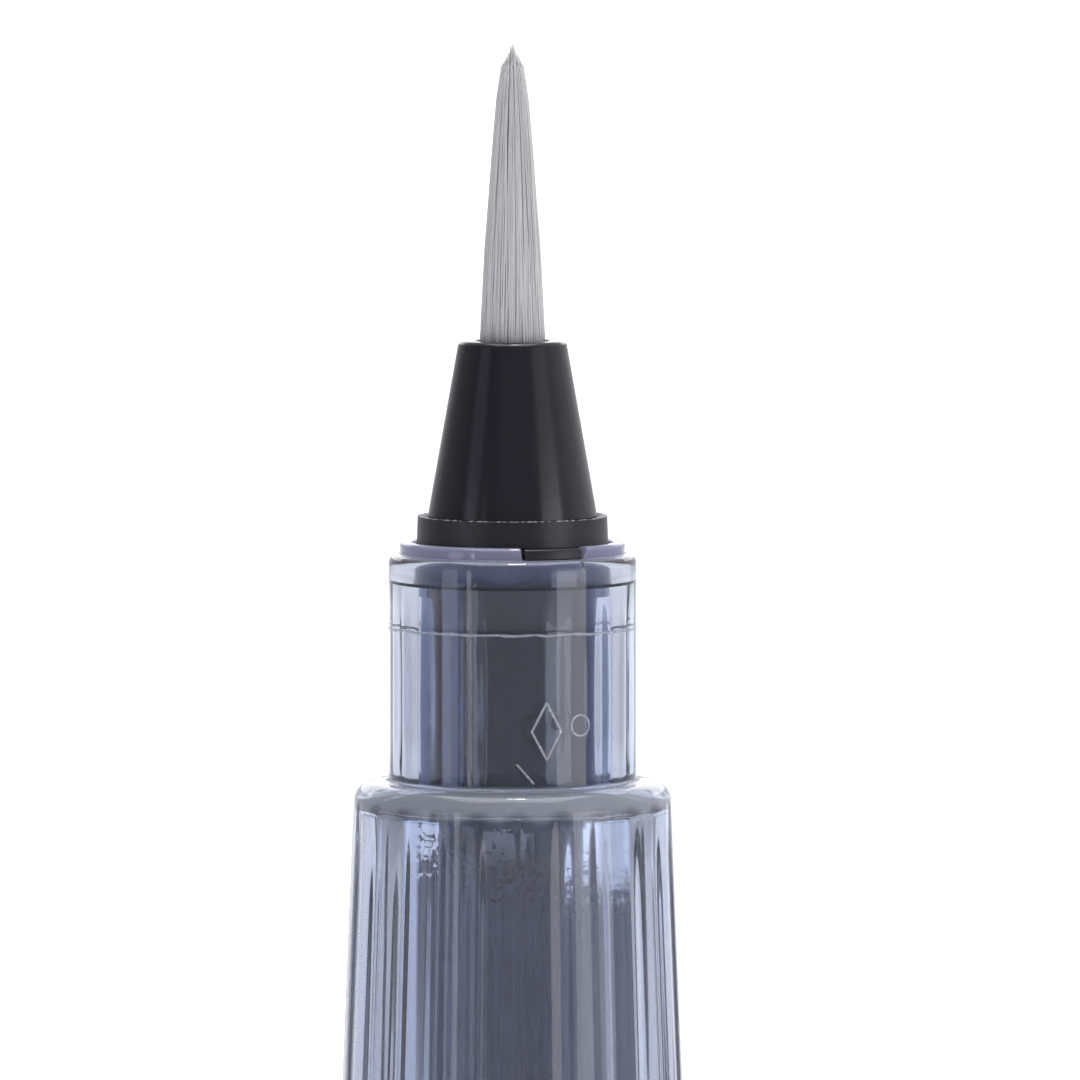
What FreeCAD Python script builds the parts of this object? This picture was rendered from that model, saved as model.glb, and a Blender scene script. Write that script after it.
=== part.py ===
import FreeCAD, Part
import math
import os
import re
import Sketcher

# Squeeze-barrel brush pen, standing on the closed end of its posted cap, tip up.
# The pen's axis is Z and the cap's flat end is at zero. Lengths are in millimetres and angles in
# degrees. Each piece is a body whose sketch corners are bound to the cells of the sheet "Sizes".

SIZES = {
    # Cap
    "cap_length": 46.0,
    "cap_end_radius": 7.05,
    "cap_bore": 5.07,
    "cap_wide_bore": 5.7,
    "cap_step_rise": 0.4,
    "cap_mouth_round": 0.25,
    "cap_mouth_chamfer": 0.2,
    "crown_disc": 2.2,
    "crown_wall": 1.1,
    "crown_round": 0.5,
    "liner_base": 6.0,
    "liner_floor": 1.0,
    "liner_wall": 0.85,
    "liner_top": 36.8,
    "liner_gap": 0.05,
    # Clip
    "clip_width": 3.6,
    "clip_thickness": 0.9,
    "clip_low": 0.7,
    "clip_top": 37.0,
    "clip_reach": 8.75,
    "clip_lean": 0.25,
    "clip_bend": 0.9,
    "clip_tip": 0.6,
    "clip_tang_depth": 1.5,
    "clip_ball_height": 34.0,
    "clip_ball_flat": 0.5,
    "clip_ball_ramp": 2.6,
    "clip_ball_gap": 0.15,
    "clip_slot_gap": 0.15,
    "clip_round": 0.4,
    # Neck shape shared by the section and by the tail stub
    "neck_radius": 5.02,
    "shoulder_radius": 6.4,
    "shoulder_round": 0.85,
    "neck_length": 9.2,
    "neck_round": 0.42,
    # Tail
    "barrel_radius": 7.5,
    "stub_gap": 0.1,
    "tail_taper": 7.0,
    "tail_top": 57.0,
    "tail_spigot": 5.0,
    "tail_wall": 1.2,
    "cup_floor": 48.2,
    "cup_flare_top": 54.0,
    "cup_flare": 0.9,
    # Bottle, ink and label
    "bottle_radius": 7.3,
    "bottle_wall": 0.7,
    "bottle_top": 110.6,
    "bottle_roof": 1.6,
    "bottle_roof_rise": 1.5,
    "bottle_round": 0.4,
    "stem_collar": 0.45,
    "stem_collar_height": 2.9,
    "stem_radius": 4.5,
    "stem_bore": 3.0,
    "stem_top": 120.6,
    "stem_chamfer": 0.4,
    "ink_level": 98.0,
    "ink_gap": 0.05,
    "label_low": 62.0,
    "label_high": 104.0,
    "label_thickness": 0.2,
    # Rings between the bottle and the section
    "seal_thickness": 1.4,
    "seal_bore": 5.6,
    "seal_round": 0.2,
    "o_ring_centre": 4.9,
    "o_ring_wire": 0.32,
    "o_ring_height": 112.6,
    "o_ring_seat_gap": 0.02,
    "o_ring_end_gap": 0.1,
    # Thread
    "thread_pitch": 2.0,
    "thread_base": 0.9,
    "thread_crest": 0.45,
    "thread_depth": 0.62,
    "thread_bite": 0.15,
    "stem_thread_start": 114.6,
    "socket_thread_start": 115.6,
    "thread_rise": 4.4,
    "socket_radius": 5.3,
    # Orifice plug
    "orifice_flange": 0.6,
    "orifice_flange_radius": 4.2,
    "orifice_depth": 6.0,
    "orifice_wall": 0.7,
    "orifice_hole": 0.6,
    "orifice_floor": 1.0,
    # Section
    "section_base": 112.0,
    "section_round": 0.3,
    "ring_top": 114.6,
    "shoulder_height": 142.0,
    "neck_root_round": 0.2,
    "chamber_low": 122.0,
    "chamber_low_radius": 5.2,
    "chamber_high_radius": 4.8,
    "chamber_roof": 141.0,
    "chamber_round": 0.45,
    "section_bore": 3.9,
    "seat_depth": 1.2,
    "lip_height": 0.5,
    "lip_radius": 4.55,
    "lip_bore": 4.03,
    "lip_round": 0.12,
    "rib_count": 24,
    "rib_phase": 2.5,
    "groove_radius": 0.3,
    "groove_depth": 0.2,
    "groove_low": 116.4,
    "groove_high": 140.4,
    "notch_count": 2,
    "notch_start": 4.5,
    "notch_angle": 35.5,
    "notch_margin": 0.2,
    "key_gap_angle": 2.0,
    "key_radius": 4.5,
    "key_bite": 0.2,
    # Feed
    "feed_radius": 3.6,
    "feed_slim_radius": 2.85,
    "feed_step": 0.6,
    "feed_flange_radius": 3.87,
    "feed_flange": 0.4,
    "feed_low": 126.0,
    "feed_taper": 1.0,
    "feed_floor": 1.5,
    "feed_bore": 2.4,
    "wick_radius": 0.8,
    "wick_low": 123.0,
    "wick_chamfer": 0.3,
    "fit_gap": 0.04,
    # Nose, collar and hair
    "collar_top": 152.75,
    "collar_low_radius": 3.98,
    "collar_high_radius": 3.83,
    "collar_bore": 2.95,
    "collar_rim": 0.2,
    "collar_recess": 0.15,
    "nose_radius": 3.45,
    "nose_base_round": 0.12,
    "nose_tip_radius": 2.17,
    "nose_tip_round": 0.3,
    "nose_mouth": 159.8,
    "nose_bore": 1.5,
    "nose_chamfer": 0.12,
    "spigot_radius": 2.9,
    "spigot_bore": 2.2,
    "spigot_low": 146.0,
    "root_ledge": 148.0,
    "root_flange": 1.0,
    "root_radius": 2.16,
    "retainer_hole": 1.0,
    "hair_radius": 1.33,
    "hair_body_top": 10.2,
    "hair_body_radius": 0.62,
    "hair_point_top": 11.3,
    "hair_point_radius": 0.37,
    "hair_length": 12.0,
    "hair_seat_gap": 0.05,
}

doc = FreeCAD.newDocument("brush_pen")
sheet = doc.addObject("Spreadsheet::Sheet", "Sizes")
for row, (size_name, size) in enumerate(SIZES.items(), start=1):
    sheet.set(f"A{row}", size_name)
    sheet.set(f"B{row}", str(size))
    sheet.setAlias(f"B{row}", size_name)
doc.recompute()


# Formulas and sketches


def formula(text):
    """Point the plain size names of a formula at the sheet's cells."""
    return re.sub(r"[a-z][a-z_]+", lambda word: linked(word.group()), text)


def linked(word):
    """The sheet reference of a size, or the word itself where it is a function such as tan."""
    return f"Sizes.{word}" if word in SIZES else word


def number(text):
    """What a formula comes to now."""
    return float(sheet.evalExpression(formula(text)))


def new_body(label):
    """An empty body with the name of its piece."""
    body = doc.addObject("PartDesign::Body", label)
    body.Label = label
    return body


def origin_plane(body, role):
    """One of the three origin planes of a body."""
    return next(item for item in body.Origin.OriginFeatures if item.Role == role)


def new_sketch(body, name, role="XZ_Plane"):
    """A sketch on an origin plane. On XZ_Plane it reads across in X and up in Z."""
    sketch = body.newObject("Sketcher::SketchObject", name)
    sketch.AttachmentSupport = [(origin_plane(body, role), "")]
    sketch.MapMode = "FlatFace"
    return sketch


def turn_sketch(sketch, text):
    """Turn a sketch about the pen's axis, which is its own vertical."""
    turned = FreeCAD.Rotation(FreeCAD.Vector(0, 1, 0), number(text))
    sketch.AttachmentOffset = FreeCAD.Placement(FreeCAD.Vector(), turned)
    sketch.setExpression("AttachmentOffset.Rotation.Angle", formula(text))


def bind(sketch, constraint, text):
    """Add a dimension and bind it to its formula."""
    index = sketch.addConstraint(constraint)
    sketch.setExpression(f"Constraints[{index}]", formula(text))


def dimension(sketch, kind, edge, end, text):
    """Hold a point at its distance from an axis of the sketch, on either side of it."""
    distance = number(text)
    if abs(distance) < 1e-9:
        axis = -2 if kind == "DistanceX" else -1
        sketch.addConstraint(Sketcher.Constraint("PointOnObject", edge, end, axis))
    elif distance > 0:
        bind(sketch, Sketcher.Constraint(kind, -1, 1, edge, end, distance), text)
    else:
        bind(sketch, Sketcher.Constraint(kind, edge, end, -1, 1, -distance), f"-({text})")


def draw_outline(sketch, corners):
    """Close straight edges through corners, each a pair of formulas (across, up)."""
    points = [FreeCAD.Vector(number(across), number(up), 0) for across, up in corners]
    count = len(points)
    for index in range(count):
        edge = Part.LineSegment(points[index], points[(index + 1) % count])
        sketch.addGeometry(edge, False)
    for index in range(count):
        following = (index + 1) % count
        sketch.addConstraint(Sketcher.Constraint("Coincident", index, 2, following, 1))
    for index, (across, up) in enumerate(corners):
        dimension(sketch, "DistanceX", index, 1, across)
        dimension(sketch, "DistanceY", index, 1, up)


# Features


def turn(body, sketch, name, kind="PartDesign::Revolution", angle="360"):
    """Turn a sketch about the pen's axis, adding or cutting."""
    feature = body.newObject(kind, name)
    feature.Profile = sketch
    feature.ReferenceAxis = (sketch, ["V_Axis"])
    feature.setExpression("Angle", formula(angle))
    return feature


def turned_body(label, corners):
    """A body turned from one outline of (radius, height) corners."""
    body = new_body(label)
    sketch = new_sketch(body, f"{label}_outline")
    draw_outline(sketch, corners)
    turn(body, sketch, f"{label}_turned")
    doc.recompute()
    return body


def rims(body, radius, height):
    """Names of the tip's round edges of one radius at one height."""
    names = []
    for index, edge in enumerate(body.Tip.Shape.Edges, start=1):
        curve = edge.Curve
        if not isinstance(curve, Part.Circle):
            continue
        same_radius = abs(curve.Radius - number(radius)) < 1e-4
        if same_radius and abs(curve.Center.z - number(height)) < 1e-4:
            names.append(f"Edge{index}")
    if not names:
        raise ValueError(f"{body.Label} has no rim of radius {radius} at {height}")
    return names


def soften(body, kind, size, *places):
    """Fillet or chamfer the rims at some (radius, height) places."""
    edges = [edge for radius, height in places for edge in rims(body, radius, height)]
    base = body.Tip
    feature = body.newObject(kind, f"{body.Label}_{len(body.Group)}")
    feature.Base = (base, edges)
    feature.setExpression("Radius" if kind.endswith("Fillet") else "Size", formula(size))
    doc.recompute()


def fillet(body, size, *places):
    soften(body, "PartDesign::Fillet", size, *places)


def chamfer(body, size, *places):
    soften(body, "PartDesign::Chamfer", size, *places)


def repeat(body, feature, sketch, count):
    """Repeat a feature evenly about the pen's axis."""
    pattern = body.newObject("PartDesign::PolarPattern", f"{feature.Name}_pattern")
    pattern.Originals = [feature]
    pattern.Axis = (sketch, ["V_Axis"])
    pattern.Angle = 360
    pattern.setExpression("Occurrences", formula(count))
    body.Tip = pattern
    doc.recompute()


def add_thread(body, root, start, outward):
    """Wind a right-hand ridge on a wall. It rises from the wall outward (1) or inward (-1)."""
    sketch = new_sketch(body, f"{body.Label}_thread_outline")
    buried = f"{root} - {outward} * thread_bite"
    crest = f"{root} + {outward} * thread_depth"
    draw_outline(sketch, [
        (buried, f"{start} - thread_base / 2"),
        (crest, f"{start} - thread_crest / 2"),
        (crest, f"{start} + thread_crest / 2"),
        (buried, f"{start} + thread_base / 2"),
    ])
    thread = body.newObject("PartDesign::AdditiveHelix", f"{body.Label}_thread")
    thread.Profile = sketch
    thread.ReferenceAxis = (sketch, ["V_Axis"])
    thread.Mode = "pitch-height-angle"
    thread.setExpression("Pitch", formula("thread_pitch"))
    thread.setExpression("Height", formula("thread_rise"))
    doc.recompute()


# Cap


def make_cap_shell():
    body = turned_body("cap_shell", [
        ("cap_bore", "cap_length"),
        ("shoulder_radius", "cap_length"),
        ("cap_end_radius", "crown_disc"),
        ("cap_wide_bore", "crown_disc"),
        ("cap_wide_bore", "liner_top"),
        ("cap_bore", "liner_top + cap_step_rise"),
    ])
    fillet(body, "cap_mouth_round", ("shoulder_radius", "cap_length"))
    chamfer(body, "cap_mouth_chamfer", ("cap_bore", "cap_length"))
    return body


def make_cap_liner():
    outer = "cap_wide_bore - liner_gap"
    inner = f"{outer} - liner_wall"
    return turned_body("cap_liner", [
        ("0", "liner_base"),
        (outer, "liner_base"),
        (outer, "liner_top"),
        (inner, "liner_top"),
        (inner, "liner_base + liner_floor"),
        ("0", "liner_base + liner_floor"),
    ])


def make_cap_crown():
    """End plug: disc, hollow spigot that carries the liner, and a slot for the clip's tang."""
    spigot = "cap_wide_bore - liner_gap"
    body = turned_body("cap_crown", [
        ("0", "0"),
        ("cap_end_radius", "0"),
        ("cap_end_radius", "crown_disc"),
        (spigot, "crown_disc"),
        (spigot, "liner_base"),
        (f"{spigot} - crown_wall", "liner_base"),
        (f"{spigot} - crown_wall", "crown_disc"),
        ("0", "crown_disc"),
    ])
    fillet(body, "crown_round", ("cap_end_radius", "0"))
    slot_outline = new_sketch(body, "crown_slot_outline", "YZ_Plane")
    deep = "-(cap_end_radius - clip_tang_depth - clip_slot_gap)"
    draw_outline(slot_outline, [
        ("-(cap_end_radius + 1)", "clip_low - clip_slot_gap"),
        (deep, "clip_low - clip_slot_gap"),
        (deep, "clip_low + clip_thickness + clip_slot_gap"),
        ("-(cap_end_radius + 1)", "clip_low + clip_thickness + clip_slot_gap"),
    ])
    slot = body.newObject("PartDesign::Pocket", "crown_slot")
    slot.Profile = slot_outline
    slot.SideType = "Symmetric"
    slot.setExpression("Length", formula("clip_width + 2 * clip_slot_gap"))
    doc.recompute()
    return body


def make_pocket_clip():
    """Strip that leaves the crown, turns up along the cap and ends in a ball near the wall."""
    body = new_body("pocket_clip")
    sketch = new_sketch(body, "clip_outline", "YZ_Plane")
    slope = "(cap_end_radius - shoulder_radius) / (cap_length - crown_disc)"
    wall = f"(cap_end_radius - (clip_ball_height - crown_disc) * {slope})"
    ball = f"-({wall} + clip_ball_gap)"
    draw_outline(sketch, [
        ("-(cap_end_radius - clip_tang_depth)", "clip_low"),
        ("-(clip_reach - clip_bend)", "clip_low"),
        ("-clip_reach", "clip_low + clip_bend"),
        ("-(clip_reach - clip_lean)", "clip_top"),
        ("-(clip_reach - clip_lean - clip_tip)", "clip_top"),
        (ball, "clip_ball_height + clip_ball_flat"),
        (ball, "clip_ball_height - clip_ball_flat"),
        ("-(clip_reach - clip_lean - clip_thickness)", "clip_ball_height - clip_ball_ramp"),
        ("-(clip_reach - clip_thickness)", "clip_low + clip_thickness + clip_bend / 2"),
        ("-(clip_reach - clip_thickness - clip_bend / 2)", "clip_low + clip_thickness"),
        ("-(cap_end_radius - clip_tang_depth)", "clip_low + clip_thickness"),
    ])
    pad = body.newObject("PartDesign::Pad", "clip_strip")
    pad.Profile = sketch
    pad.SideType = "Symmetric"
    pad.setExpression("Length", formula("clip_width"))
    doc.recompute()
    outer_edges = long_edges(body, -number("clip_reach - clip_bend"), number("clip_width / 2"))
    rounding = body.newObject("PartDesign::Fillet", "clip_rounding")
    rounding.Base = (pad, outer_edges)
    rounding.setExpression("Radius", formula("clip_round"))
    doc.recompute()
    return body


def long_edges(body, beyond, aside):
    """Edges of the strip's two outer corners, which run up further out than a given Y."""
    names = []
    for index, edge in enumerate(body.Tip.Shape.Edges, start=1):
        ends = [vertex.Point for vertex in edge.Vertexes]
        outside = all(point.y < beyond for point in ends)
        corner = all(abs(abs(point.x) - aside) < 1e-6 for point in ends)
        rising = abs(ends[0].z - ends[-1].z) > 0.5
        if outside and corner and rising:
            names.append(f"Edge{index}")
    return names


# Barrel


def make_tail_plug():
    """Tapered tail with the stub that takes the cap, and a cup inside the barrel's end."""
    stub_end = "cap_length - neck_length + stub_gap"
    spigot = "bottle_radius - bottle_wall - fit_gap"
    cup = f"{spigot} - tail_wall"
    body = turned_body("tail_plug", [
        ("0", stub_end),
        ("neck_radius", stub_end),
        ("neck_radius", "cap_length"),
        ("shoulder_radius", "cap_length"),
        ("barrel_radius", "cap_length + tail_taper"),
        ("barrel_radius", "tail_top"),
        (spigot, "tail_top"),
        (spigot, "tail_top + tail_spigot"),
        (cup, "tail_top + tail_spigot"),
        (cup, "cup_flare_top"),
        (f"{cup} - cup_flare", "cup_floor"),
        ("0", "cup_floor"),
    ])
    fillet(body, "neck_round", ("neck_radius", stub_end))
    fillet(body, "shoulder_round / 2", ("shoulder_radius", "cap_length"))
    return body


def make_ink_bottle():
    """Soft bottle with a threaded stem, whose collar has a groove for the O-ring."""
    inner = "bottle_radius - bottle_wall"
    collar = "stem_radius + stem_collar"
    collar_top = "bottle_top + stem_collar_height"
    groove = "o_ring_centre - o_ring_wire - o_ring_seat_gap"
    groove_low = "o_ring_height - o_ring_wire"
    groove_high = "o_ring_height + o_ring_wire + o_ring_end_gap"
    body = turned_body("ink_bottle", [
        (inner, "tail_top"),
        ("bottle_radius", "tail_top"),
        ("bottle_radius", "bottle_top"),
        (collar, "bottle_top"),
        (collar, groove_low),
        (groove, groove_low),
        (groove, groove_high),
        (collar, groove_high),
        (collar, collar_top),
        ("stem_radius", collar_top),
        ("stem_radius", "stem_top"),
        ("stem_bore", "stem_top"),
        ("stem_bore", "bottle_top - bottle_roof"),
        (inner, "bottle_top - bottle_roof - bottle_roof_rise"),
    ])
    fillet(body, "bottle_round", ("bottle_radius", "bottle_top"))
    chamfer(body, "stem_chamfer", ("stem_radius", "stem_top"))
    add_thread(body, "stem_radius", "stem_thread_start", 1)
    return body


def make_neck_o_ring():
    """Rubber ring in the groove at the root of the bottle's stem."""
    body = new_body("neck_o_ring")
    sketch = new_sketch(body, "o_ring_section")
    centre = FreeCAD.Vector(number("o_ring_centre"), number("o_ring_height"), 0)
    up = FreeCAD.Vector(0, 0, 1)
    sketch.addGeometry(Part.Circle(centre, up, number("o_ring_wire")), False)
    bind(sketch, Sketcher.Constraint("Radius", 0, number("o_ring_wire")), "o_ring_wire")
    dimension(sketch, "DistanceX", 0, 3, "o_ring_centre")
    dimension(sketch, "DistanceY", 0, 3, "o_ring_height")
    turn(body, sketch, "o_ring_turned")
    doc.recompute()
    return body


def make_orifice_plug():
    """Cup in the bottle's mouth with a small hole through its floor and a flange on the rim."""
    outer = "stem_bore - fit_gap"
    inner = f"{outer} - orifice_wall"
    low = "stem_top - orifice_depth"
    return turned_body("orifice_plug", [
        ("orifice_hole", low),
        (outer, low),
        (outer, "stem_top"),
        ("orifice_flange_radius", "stem_top"),
        ("orifice_flange_radius", "stem_top + orifice_flange"),
        (inner, "stem_top + orifice_flange"),
        (inner, f"{low} + orifice_floor"),
        ("orifice_hole", f"{low} + orifice_floor"),
    ])


def make_ink_charge():
    """Ink that fills the tail's cup and stands in the barrel up to its level."""
    wall = "bottle_radius - bottle_wall - ink_gap"
    cup = f"{wall} - fit_gap - tail_wall"
    low = "cup_floor + ink_gap"
    spigot_top = "tail_top + tail_spigot"
    return turned_body("ink_charge", [
        ("0", low),
        (f"{cup} - cup_flare", low),
        (cup, "cup_flare_top"),
        (cup, f"{spigot_top} + ink_gap"),
        (wall, f"{spigot_top} + ink_gap"),
        (wall, "ink_level"),
        ("0", "ink_level"),
    ])


def make_label_sleeve():
    outer = "bottle_radius + label_thickness"
    return turned_body("label_sleeve", [
        ("bottle_radius", "label_low"),
        (outer, "label_low"),
        (outer, "label_high"),
        ("bottle_radius", "label_high"),
    ])


def make_seal_ring():
    top = "bottle_top + seal_thickness"
    body = turned_body("seal_ring", [
        ("seal_bore", "bottle_top"),
        ("barrel_radius", "bottle_top"),
        ("barrel_radius", top),
        ("seal_bore", top),
    ])
    fillet(body, "seal_round", ("barrel_radius", "bottle_top"), ("barrel_radius", top))
    return body


# Section and feed


def make_section_grip():
    """Clear ribbed section: socket and chamber below, neck and notched lip above."""
    neck_top = "shoulder_height + neck_length"
    seat = f"{neck_top} - seat_depth"
    body = turned_body("section_grip", [
        ("socket_radius", "section_base"),
        ("barrel_radius", "section_base"),
        ("barrel_radius", "ring_top"),
        ("shoulder_radius", "shoulder_height"),
        ("neck_radius", "shoulder_height"),
        ("neck_radius", neck_top),
        ("lip_radius", neck_top),
        ("lip_radius", f"{neck_top} + lip_height"),
        ("lip_bore", f"{neck_top} + lip_height"),
        ("lip_bore", seat),
        ("section_bore", seat),
        ("section_bore", "chamber_roof"),
        ("chamber_high_radius", "chamber_roof"),
        ("chamber_low_radius", "chamber_low"),
        ("socket_radius", "chamber_low"),
    ])
    fillet(body, "shoulder_round", ("shoulder_radius", "shoulder_height"))
    fillet(body, "neck_round", ("neck_radius", neck_top))
    fillet(body, "neck_root_round", ("neck_radius", "shoulder_height"))
    fillet(body, "lip_round", ("lip_radius", f"{neck_top} + lip_height"))
    fillet(body, "chamber_round", ("chamber_high_radius", "chamber_roof"))
    fillet(body, "section_round", ("barrel_radius", "section_base"), ("barrel_radius", "ring_top"))
    cut_grip_grooves(body)
    cut_lip_notches(body, neck_top)
    add_thread(body, "socket_radius", "socket_thread_start", -1)
    return body


def grip_radius(height):
    """Formula of the flared grip's radius at a height."""
    slope = "(barrel_radius - shoulder_radius) / (shoulder_height - ring_top)"
    return f"(shoulder_radius + (shoulder_height - {height}) * {slope})"


def draw_half_capsule(sketch, low, high, radius):
    """Half of a round-ended bar between two centres. Its first edge is the bar's axis."""
    low_centre, high_centre = (
        FreeCAD.Vector(number(across), number(up), 0) for across, up in (low, high)
    )
    size = number(radius)
    along = (high_centre - low_centre).normalize() * size
    aside = FreeCAD.Vector(-along.y, along.x, 0)
    lean = math.atan2(along.y, along.x)
    normal = FreeCAD.Vector(0, 0, 1)
    high_circle = Part.Circle(high_centre, normal, size)
    low_circle = Part.Circle(low_centre, normal, size)
    right_angle = math.pi / 2
    sketch.addGeometry(Part.LineSegment(low_centre - along, high_centre + along), False)
    sketch.addGeometry(Part.ArcOfCircle(high_circle, lean, lean + right_angle), False)
    sketch.addGeometry(Part.LineSegment(high_centre + aside, low_centre + aside), False)
    sketch.addGeometry(
        Part.ArcOfCircle(low_circle, lean + right_angle, lean + 2 * right_angle), False
    )
    sketch.addConstraint(Sketcher.Constraint("Coincident", 0, 2, 1, 1))
    sketch.addConstraint(Sketcher.Constraint("Tangent", 1, 2, 2, 1))
    sketch.addConstraint(Sketcher.Constraint("Tangent", 2, 2, 3, 1))
    sketch.addConstraint(Sketcher.Constraint("Coincident", 3, 2, 0, 1))
    sketch.addConstraint(Sketcher.Constraint("PointOnObject", 1, 3, 0))
    sketch.addConstraint(Sketcher.Constraint("PointOnObject", 3, 3, 0))
    sketch.addConstraint(Sketcher.Constraint("Equal", 1, 3))
    bind(sketch, Sketcher.Constraint("Radius", 1, size), radius)
    for edge, (across, up) in ((1, high), (3, low)):
        dimension(sketch, "DistanceX", edge, 3, across)
        dimension(sketch, "DistanceY", edge, 3, up)


def cut_grip_grooves(body):
    """Cut round-ended grooves that follow the flare, evenly round the grip."""
    sketch = new_sketch(body, "groove_outline", "YZ_Plane")
    turn_sketch(sketch, "rib_phase")
    offset = "groove_radius - groove_depth"
    low = (f"-({grip_radius('groove_low')} + {offset})", "groove_low")
    high = (f"-({grip_radius('groove_high')} + {offset})", "groove_high")
    draw_half_capsule(sketch, low, high, "groove_radius")
    groove = body.newObject("PartDesign::Groove", "grip_groove")
    groove.Profile = sketch
    groove.ReferenceAxis = (sketch, ["Edge1"])
    groove.Angle = 360
    repeat(body, groove, sketch, "rib_count")


def cut_lip_notches(body, neck_top):
    """Cut notches through the lip. The one at the front takes the collar's key."""
    sketch = new_sketch(body, "notch_outline")
    turn_sketch(sketch, "notch_start - 90")
    above = f"{neck_top} + lip_height + notch_margin"
    draw_outline(sketch, [
        ("lip_bore - notch_margin", neck_top),
        ("lip_radius + notch_margin", neck_top),
        ("lip_radius + notch_margin", above),
        ("lip_bore - notch_margin", above),
    ])
    notch = turn(body, sketch, "lip_notch", "PartDesign::Groove", "notch_angle")
    doc.recompute()
    repeat(body, notch, sketch, "notch_count")


def make_feed_plug():
    """Tube that hangs from the neck's seat, slimmer in the chamber. It holds the sponge."""
    seat = "shoulder_height + neck_length - seat_depth"
    return turned_body("feed_plug", [
        ("feed_flange_radius", seat),
        ("feed_flange_radius", f"{seat} - feed_flange"),
        ("feed_radius", f"{seat} - feed_flange"),
        ("feed_radius", "chamber_roof + feed_step"),
        ("feed_slim_radius", "chamber_roof"),
        ("feed_slim_radius", "feed_low + feed_taper"),
        ("feed_slim_radius - feed_taper / 2", "feed_low"),
        ("wick_radius + fit_gap", "feed_low"),
        ("wick_radius + fit_gap", "feed_low + feed_floor"),
        ("feed_bore", "feed_low + feed_floor"),
        ("feed_bore", "spigot_low"),
        ("spigot_radius + fit_gap", "spigot_low"),
        ("spigot_radius + fit_gap", seat),
    ])


def make_damper_sponge():
    return turned_body("damper_sponge", [
        ("wick_radius + fit_gap", "feed_low + feed_floor"),
        ("feed_bore - fit_gap", "feed_low + feed_floor"),
        ("feed_bore - fit_gap", "spigot_low"),
        ("wick_radius + fit_gap", "spigot_low"),
    ])


def make_feed_wick():
    """Fibre rod from the chamber up to the underside of the hair root."""
    body = turned_body("feed_wick", [
        ("0", "wick_low"),
        ("wick_radius", "wick_low"),
        ("wick_radius", "root_ledge - root_flange"),
        ("0", "root_ledge - root_flange"),
    ])
    chamfer(body, "wick_chamfer", ("wick_radius", "wick_low"))
    return body


# Collar, nose and hair


def make_collar_ring():
    """Ring in the lip, with a raised top rim round the nose and a key in the front notch."""
    neck_top = "shoulder_height + neck_length"
    lip_top = f"{neck_top} + lip_height"
    seat = f"{neck_top} - seat_depth"
    body = turned_body("collar_ring", [
        ("collar_bore", seat),
        ("collar_low_radius", seat),
        ("collar_low_radius", lip_top),
        ("collar_high_radius", "collar_top"),
        ("collar_high_radius - collar_rim", "collar_top"),
        ("collar_high_radius - collar_rim", "collar_top - collar_recess"),
        ("collar_bore", "collar_top - collar_recess"),
    ])
    sketch = new_sketch(body, "key_outline")
    turn_sketch(sketch, "notch_start + key_gap_angle - 90")
    draw_outline(sketch, [
        ("collar_low_radius - key_bite", neck_top),
        ("key_radius", neck_top),
        ("key_radius", lip_top),
        ("collar_low_radius - key_bite", lip_top),
    ])
    turn(body, sketch, "collar_key", angle="notch_angle - 2 * key_gap_angle")
    doc.recompute()
    return body


def make_nose_cone():
    base = "collar_top - collar_recess"
    body = turned_body("nose_cone", [
        ("nose_bore", "nose_mouth"),
        ("nose_tip_radius", "nose_mouth"),
        ("nose_radius", base),
        ("spigot_radius", base),
        ("spigot_radius", "spigot_low"),
        ("spigot_bore", "spigot_low"),
        ("spigot_bore", "root_ledge"),
        ("nose_bore", "root_ledge"),
    ])
    fillet(body, "nose_tip_round", ("nose_tip_radius", "nose_mouth"))
    fillet(body, "nose_base_round", ("nose_radius", base))
    chamfer(body, "nose_chamfer", ("nose_bore", "nose_mouth"))
    return body


def make_hair_root():
    """Hidden hair with its fused flange. Its dished top clears the tuft's round base."""
    dish = "nose_mouth - (hair_radius + hair_seat_gap) * sqrt(2)"
    side = "hair_radius + hair_seat_gap"
    return turned_body("hair_root", [
        ("0", "root_ledge - root_flange"),
        ("root_radius", "root_ledge - root_flange"),
        ("root_radius", "root_ledge"),
        (side, "root_ledge"),
        (side, f"{dish} + {side}"),
        ("0", dish),
    ])


def make_root_retainer():
    return turned_body("root_retainer", [
        ("retainer_hole", "spigot_low"),
        ("root_radius", "spigot_low"),
        ("root_radius", "root_ledge - root_flange"),
        ("retainer_hole", "root_ledge - root_flange"),
    ])


def make_bristle_tuft():
    """Exposed hair: round base about the bend's centre, straight flank, steeper point."""
    return turned_body("bristle_tuft", [
        ("0", "nose_mouth - hair_radius"),
        ("hair_radius / sqrt(2)", "nose_mouth - hair_radius / sqrt(2)"),
        ("hair_radius", "nose_mouth"),
        ("hair_body_radius", "nose_mouth + hair_body_top"),
        ("hair_point_radius", "nose_mouth + hair_point_top"),
        ("0", "nose_mouth + hair_length"),
    ])


def check(pieces):
    """Stop if any feature failed or any piece is not one valid solid."""
    for item in doc.Objects:
        if {"Invalid", "Error"} & set(item.State):
            raise RuntimeError(f"{item.Label} failed: {item.State}")
    for piece in pieces:
        shape = piece.Shape
        if shape.isNull() or not shape.isValid() or len(shape.Solids) != 1:
            raise RuntimeError(f"{piece.Label} is not one valid solid")


PIECES = [
    make_cap_shell,
    make_cap_liner,
    make_cap_crown,
    make_pocket_clip,
    make_tail_plug,
    make_ink_bottle,
    make_neck_o_ring,
    make_orifice_plug,
    make_ink_charge,
    make_label_sleeve,
    make_seal_ring,
    make_section_grip,
    make_feed_plug,
    make_damper_sponge,
    make_feed_wick,
    make_collar_ring,
    make_nose_cone,
    make_hair_root,
    make_root_retainer,
    make_bristle_tuft,
]

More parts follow.
